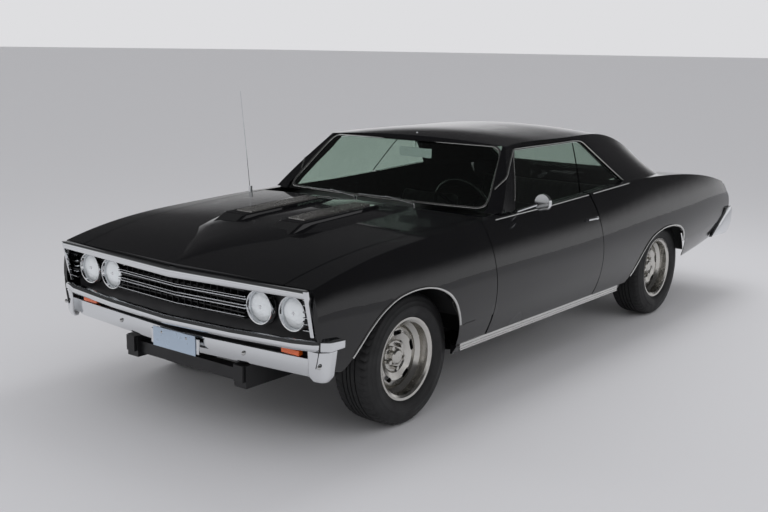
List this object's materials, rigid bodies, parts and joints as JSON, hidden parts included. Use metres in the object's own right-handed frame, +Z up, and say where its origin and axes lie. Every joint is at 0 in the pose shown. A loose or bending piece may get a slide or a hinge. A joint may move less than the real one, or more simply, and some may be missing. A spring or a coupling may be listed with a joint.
{
  "type": "muscle car",
  "caption": "Two-door hardtop muscle car with opening hood, trunk lid and doors, steered front wheels and a furnished hollow cabin.",
  "frame": {"origin": "centre of the bounding box at ground level, under the tyres", "axes": "+Z up; -Y toward the nose, so +Y is the rear; +X toward the left side, where the driver sits"},
  "size_m": [1.9811, 5.004, 1.5602],
  "materials": {
    "paint": "gloss black paint",
    "glass": "clear, tinted green",
    "chrome": "polished chrome plate",
    "alloy": "polished",
    "tyre": "matt rubber",
    "black_metal": "satin black",
    "chassis": "satin black",
    "underbody": "matt black",
    "engine": "painted cast iron",
    "steel": "satin",
    "lamp_glass": "clear",
    "amber": "clear amber",
    "red_lens": "clear red",
    "trim_black": "grained",
    "wheel_rim": "gloss",
    "vinyl": "grained black vinyl"
  },
  "bodies": {
    "body": {"frame": "chassis", "floor": "underbody", "fender_left": "paint", "fender_right": "paint", "quarter_left": "paint", "quarter_right": "paint", "roof": "paint", "cowl_and_sills": "paint", "rear_panels": "paint", "windshield": "glass", "rear_glass": "glass", "grille": "black_metal", "front_mouldings": "chrome", "headlamps": "lamp_glass", "signal_lamps": "amber", "front_bumper": "chrome", "rear_bumper": "chrome", "tail_lamps": "red_lens", "engine": "engine", "exhaust_and_tank": "steel", "front_suspension": "chassis", "rear_axle": "chassis", "dashboard": "trim_black", "seats": "vinyl", "inside_mirror": "chrome", "wipers_and_aerial": "chrome"},
    "hood": {"hood": "paint"},
    "trunk_lid": {"trunk_lid": "paint"},
    "door_left": {"door_left": "paint", "door_glass_left": "glass", "door_trim_left": "chrome"},
    "door_right": {"door_right": "paint", "door_glass_right": "glass", "door_trim_right": "chrome"},
    "knuckle_left": {"knuckle_left": "chassis"},
    "knuckle_right": {"knuckle_right": "chassis"},
    "steering_wheel": {"steering_wheel": "wheel_rim"},
    "wheel_front_left": {"rim_front_left": "alloy", "tyre_front_left": "tyre"},
    "wheel_front_right": {"rim_front_right": "alloy", "tyre_front_right": "tyre"},
    "wheel_rear_left": {"rim_rear_left": "alloy", "tyre_rear_left": "tyre"},
    "wheel_rear_right": {"rim_rear_right": "alloy", "tyre_rear_right": "tyre"}
  },
  "joints": [
    {"name": "hood_hinge", "type": "hinge", "parent": "body", "child": "hood", "pos_m": [0, -1.02, 0.966], "axis": [-1, 0, 0], "range_deg": [0, 50]},
    {"name": "trunk_hinge", "type": "hinge", "parent": "body", "child": "trunk_lid", "pos_m": [0, 1.618, 0.96], "axis": [1, 0, 0], "range_deg": [0, 65]},
    {"name": "door_left_hinge", "type": "hinge", "parent": "body", "child": "door_left", "pos_m": [0.9672, -1.072, 0.6], "axis": [0, 0, -1], "range_deg": [0, 65]},
    {"name": "door_right_hinge", "type": "hinge", "parent": "body", "child": "door_right", "pos_m": [-0.9672, -1.072, 0.6], "axis": [0, 0, 1], "range_deg": [0, 65]},
    {"name": "steer_left", "type": "hinge", "parent": "body", "child": "knuckle_left", "pos_m": [0.636, -1.672, 0.335], "axis": [0, 0, 1], "range_deg": [-30, 30]},
    {"name": "steer_right", "type": "hinge", "parent": "body", "child": "knuckle_right", "pos_m": [-0.636, -1.672, 0.335], "axis": [0, 0, 1], "range_deg": [-30, 30]},
    {"name": "steering_turn", "type": "hinge", "parent": "body", "child": "steering_wheel", "pos_m": [0.37, -0.536, 0.891], "axis": [0, 0.9659, 0.2588], "range_deg": [-480, 480]},
    {"name": "spin_front_left", "type": "hinge", "parent": "knuckle_left", "child": "wheel_front_left", "pos_m": [0.7365, -1.672, 0.335], "axis": [1, 0, 0], "continuous": true},
    {"name": "spin_front_right", "type": "hinge", "parent": "knuckle_right", "child": "wheel_front_right", "pos_m": [-0.7365, -1.672, 0.335], "axis": [1, 0, 0], "continuous": true},
    {"name": "spin_rear_left", "type": "hinge", "parent": "body", "child": "wheel_rear_left", "pos_m": [0.7365, 1.249, 0.335], "axis": [1, 0, 0], "continuous": true},
    {"name": "spin_rear_right", "type": "hinge", "parent": "body", "child": "wheel_rear_right", "pos_m": [-0.7365, 1.249, 0.335], "axis": [1, 0, 0], "continuous": true}
  ],
  "couplings": [
    {"joint": "steer_right", "follows": "steer_left", "ratio": 1},
    {"joint": "steering_turn", "follows": "steer_left", "ratio": 16}
  ]
}
